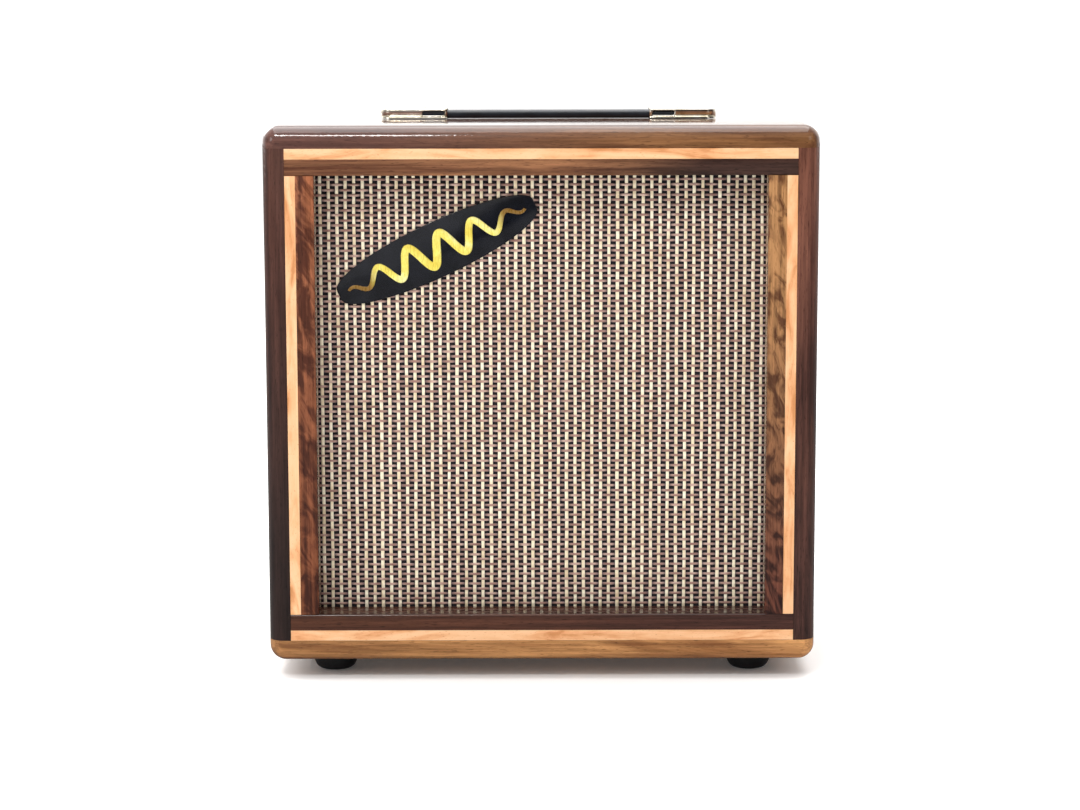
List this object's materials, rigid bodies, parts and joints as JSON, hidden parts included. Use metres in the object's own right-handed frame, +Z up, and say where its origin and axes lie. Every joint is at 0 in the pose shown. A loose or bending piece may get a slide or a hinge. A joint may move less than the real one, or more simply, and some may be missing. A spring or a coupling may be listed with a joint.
{
  "type": "tube guitar amplifier",
  "caption": "Small combo tube amplifier: lacquered wooden box with inlaid front frame, woven grille, strap handle, rubber feet, rear-facing chassis and loudspeaker.",
  "frame": {"origin": "on the floor under the middle of the cabinet", "axes": "+Z up, the grille faces -Y, +X to the right seen from the front"},
  "size_m": [0.422, 0.23, 0.4361],
  "materials": {
    "cabinet_walnut": "clear gloss lacquer",
    "frame_walnut": "clear gloss lacquer",
    "frame_maple": "clear gloss lacquer",
    "plywood": "bare sanded",
    "rear_board": "clear gloss lacquer",
    "grille_fabric": "woven",
    "badge_black": "gloss",
    "badge_gold": "polished",
    "foot_rubber": "matte",
    "cap_nickel": "polished",
    "strap": "satin",
    "basket_steel": "satin",
    "magnet_iron": "satin",
    "cone_paper": "pressed pulp",
    "suspension": "doped cotton",
    "copper": "wound wire",
    "chassis_steel": "zinc plated",
    "panel_plate": "brushed",
    "tag_board": "bare fibre board",
    "transformer_black": "gloss enamel",
    "phenolic": "moulded",
    "valve_glass": "clear",
    "bright_nickel": "plated",
    "knob_cream": "moulded",
    "lamp_ruby": "faceted",
    "sleeve": "shrink sleeve",
    "lead_jacket": "matte"
  },
  "bodies": {
    "cabinet": {"back_cleat_left": "plywood", "back_cleat_right": "plywood", "back_panel": "rear_board", "badge_emblem": "badge_gold", "badge_plate": "badge_black", "baffle_board": "plywood", "cabinet_bottom_board": "cabinet_walnut", "cabinet_left_side": "cabinet_walnut", "cabinet_right_side": "cabinet_walnut", "cabinet_top_board": "cabinet_walnut", "chassis_tray": "chassis_steel", "circuit_board": "tag_board", "control_panel": "panel_plate", "filter_capacitor": "sleeve", "foot_front_left": "foot_rubber", "foot_front_right": "foot_rubber", "foot_rear_left": "foot_rubber", "foot_rear_right": "foot_rubber", "frame_bottom_maple": "frame_maple", "frame_bottom_walnut": "frame_walnut", "frame_left_maple": "frame_maple", "frame_left_walnut": "frame_walnut", "frame_right_maple": "frame_maple", "frame_right_walnut": "frame_walnut", "frame_top_maple": "frame_maple", "frame_top_walnut": "frame_walnut", "fuse_holder": "phenolic", "grille_cloth": "grille_fabric", "handle_cap_left": "cap_nickel", "handle_cap_right": "cap_nickel", "handle_tongue_left": "strap", "handle_tongue_right": "strap", "input_jack": "bright_nickel", "mains_inlet": "phenolic", "output_transformer": "transformer_black", "pilot_lamp": "lamp_ruby", "power_socket": "phenolic", "power_switch_body": "phenolic", "power_transformer": "transformer_black", "power_valve": "valve_glass", "preamp_socket": "phenolic", "preamp_valve": "valve_glass", "rectifier_socket": "phenolic", "rectifier_valve": "valve_glass", "speaker_basket": "basket_steel", "speaker_jack": "bright_nickel", "speaker_lead": "lead_jacket", "speaker_magnet": "magnet_iron", "speaker_spider": "suspension", "speaker_surround": "suspension", "tone_pot": "bright_nickel", "volume_pot": "bright_nickel"},
    "grip": {"handle_grip": "strap"},
    "volume_control": {"volume_knob": "knob_cream"},
    "tone_control": {"tone_knob": "knob_cream"},
    "power_lever": {"power_switch_lever": "bright_nickel"},
    "fuse_carrier": {"fuse_cap": "phenolic"},
    "cone_assembly": {"speaker_cone": "cone_paper", "speaker_dust_cap": "cone_paper", "speaker_voice_coil": "copper"}
  },
  "joints": [
    {"name": "handle_lift", "type": "slide", "parent": "cabinet", "child": "grip", "axis": [0, 0, 1], "range_m": [0, 0.025], "deforming": ["handle_tongue_left", "handle_tongue_right"]},
    {"name": "volume_turn", "type": "hinge", "parent": "cabinet", "child": "volume_control", "pos_m": [0.09, 0.09, 0.381], "axis": [0, -1, 0], "range_deg": [0, 300]},
    {"name": "tone_turn", "type": "hinge", "parent": "cabinet", "child": "tone_control", "pos_m": [0.046, 0.09, 0.381], "axis": [0, -1, 0], "range_deg": [0, 300]},
    {"name": "power_switch", "type": "hinge", "parent": "cabinet", "child": "power_lever", "pos_m": [-0.048, 0.094, 0.381], "axis": [1, 0, 0], "range_deg": [0, 24]},
    {"name": "fuse_twist", "type": "hinge", "parent": "cabinet", "child": "fuse_carrier", "pos_m": [-0.08, 0.09, 0.381], "axis": [0, 1, 0], "range_deg": [0, 60]},
    {"name": "cone_travel", "type": "slide", "parent": "cabinet", "child": "cone_assembly", "axis": [0, 1, 0], "range_m": [-0.003, 0.003], "stiffness_N_per_m": 3000, "deforming": ["speaker_surround", "speaker_spider"]}
  ]
}
